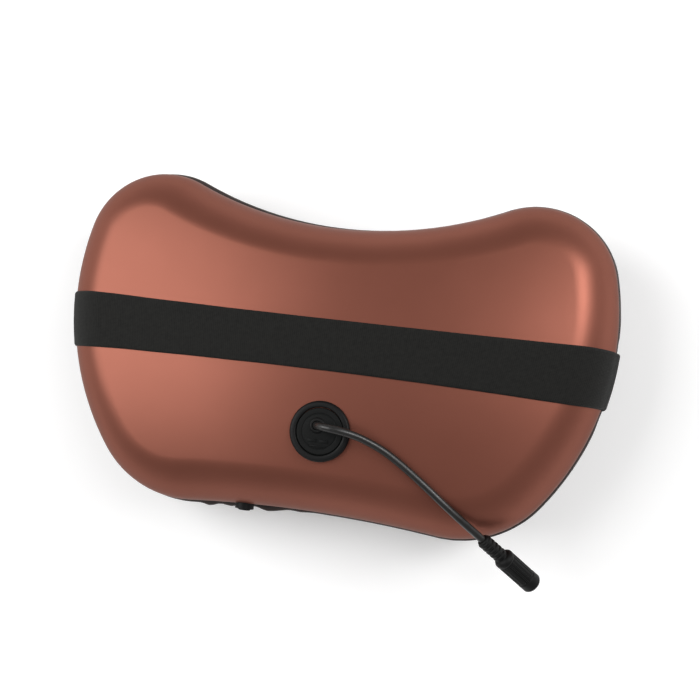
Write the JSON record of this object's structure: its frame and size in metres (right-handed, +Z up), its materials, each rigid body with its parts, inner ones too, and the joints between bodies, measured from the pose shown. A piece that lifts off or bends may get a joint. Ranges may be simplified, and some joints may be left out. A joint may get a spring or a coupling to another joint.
{
  "type": "shiatsu neck massager",
  "caption": "Neck massager pillow with a notched top edge, crowned bronze back shell, elastic strap, geared kneading heads under a fabric cover, and a short lead with a jack socket.",
  "frame": {"origin": "middle of the massager's outline, on the surface it rests on", "axes": "+X along the long side to the viewer's right when the back shell faces the viewer, +Y to the notched edge, +Z up out of the back shell"},
  "size_m": [0.3226, 0.2147, 0.1045],
  "materials": {
    "bronze_shell": "satin metallic bronze paint on moulded plastic",
    "piping": "thin dark leatherette piping",
    "cover_fabric": "dark mesh fabric with a soft leatherette border",
    "foam": "open-cell foam",
    "frame_plastic": "natural moulded plastic",
    "steel": "plain steel",
    "bush_bronze": "sintered bronze",
    "black_plastic": "black moulded plastic",
    "board": "circuit board",
    "lead_jacket": "soft black cable jacket",
    "red_wire": "red wire insulation",
    "nickel": "nickel-plated spring metal",
    "elastic": "woven black elastic",
    "gear_plastic": "acetal",
    "carrier_plastic": "dark glass-filled nylon",
    "ball_plastic": "smooth hard plastic"
  },
  "bodies": {
    "housing": {"back_shell": "bronze_shell", "seam_piping": "piping", "front_cover": "cover_fabric", "foam_pad": "foam", "front_frame": "frame_plastic", "case_screws": "steel", "gearbox_base": "frame_plastic", "gearbox_cover": "frame_plastic", "gearbox_screws": "steel", "worm_bushes": "bush_bronze", "lower_shaft_bushes": "bush_bronze", "upper_shaft_bushes": "bush_bronze", "motor_can": "steel", "motor_end_cap": "black_plastic", "motor_clamp": "steel", "clamp_screws": "steel", "control_board": "board", "board_screws": "steel", "tact_switch": "black_plastic", "button_bezel": "black_plastic", "cord_cap": "black_plastic", "cord_nut": "black_plastic", "power_lead": "lead_jacket", "inner_lead": "lead_jacket", "motor_lead": "red_wire", "connector_shell": "black_plastic", "connector_contact": "nickel", "connector_pin": "nickel", "strap": "elastic"},
    "motor_rotor": {"motor_shaft": "steel", "worm": "steel"},
    "left_head": {"left_worm_wheel": "gear_plastic", "left_output_shaft": "steel", "left_carrier": "carrier_plastic", "left_carrier_screw": "steel", "left_ball_pins": "steel"},
    "right_head": {"right_worm_wheel": "gear_plastic", "right_output_shaft": "steel", "right_carrier": "carrier_plastic", "right_carrier_screw": "steel", "right_ball_pins": "steel"},
    "left_outer_ball_body": {"left_outer_ball": "ball_plastic"},
    "left_inner_ball_body": {"left_inner_ball": "ball_plastic"},
    "right_inner_ball_body": {"right_inner_ball": "ball_plastic"},
    "right_outer_ball_body": {"right_outer_ball": "ball_plastic"},
    "power_button_body": {"power_button": "black_plastic"}
  },
  "joints": [
    {"name": "left_head_spin", "type": "hinge", "parent": "housing", "child": "left_head", "pos_m": [-0.051, -0.005, 0.04], "axis": [0, 0, 1], "continuous": true},
    {"name": "right_head_spin", "type": "hinge", "parent": "housing", "child": "right_head", "pos_m": [0.051, -0.005, 0.04], "axis": [0, 0, 1], "continuous": true},
    {"name": "motor_spin", "type": "hinge", "parent": "housing", "child": "motor_rotor", "pos_m": [0, 0, 0.0585], "axis": [0, 1, 0], "continuous": true},
    {"name": "left_outer_ball_spin", "type": "hinge", "parent": "left_head", "child": "left_outer_ball_body", "pos_m": [-0.08, -0.005, 0.0212], "axis": [0, 0, 1], "continuous": true},
    {"name": "left_inner_ball_spin", "type": "hinge", "parent": "left_head", "child": "left_inner_ball_body", "pos_m": [-0.022, -0.005, 0.0212], "axis": [0, 0, 1], "continuous": true},
    {"name": "right_inner_ball_spin", "type": "hinge", "parent": "right_head", "child": "right_inner_ball_body", "pos_m": [0.022, -0.005, 0.0212], "axis": [0, 0, 1], "continuous": true},
    {"name": "right_outer_ball_spin", "type": "hinge", "parent": "right_head", "child": "right_outer_ball_body", "pos_m": [0.08, -0.005, 0.0212], "axis": [0, 0, 1], "continuous": true},
    {"name": "button_press", "type": "slide", "parent": "housing", "child": "power_button_body", "axis": [0, 1, 0], "range_m": [0, 0.0012], "stiffness_N_per_m": 900, "springref_m": -0.0006}
  ],
  "couplings": [
    {"joint": "right_head_spin", "follows": "left_head_spin", "ratio": -1},
    {"joint": "motor_spin", "follows": "left_head_spin", "ratio": -60}
  ]
}
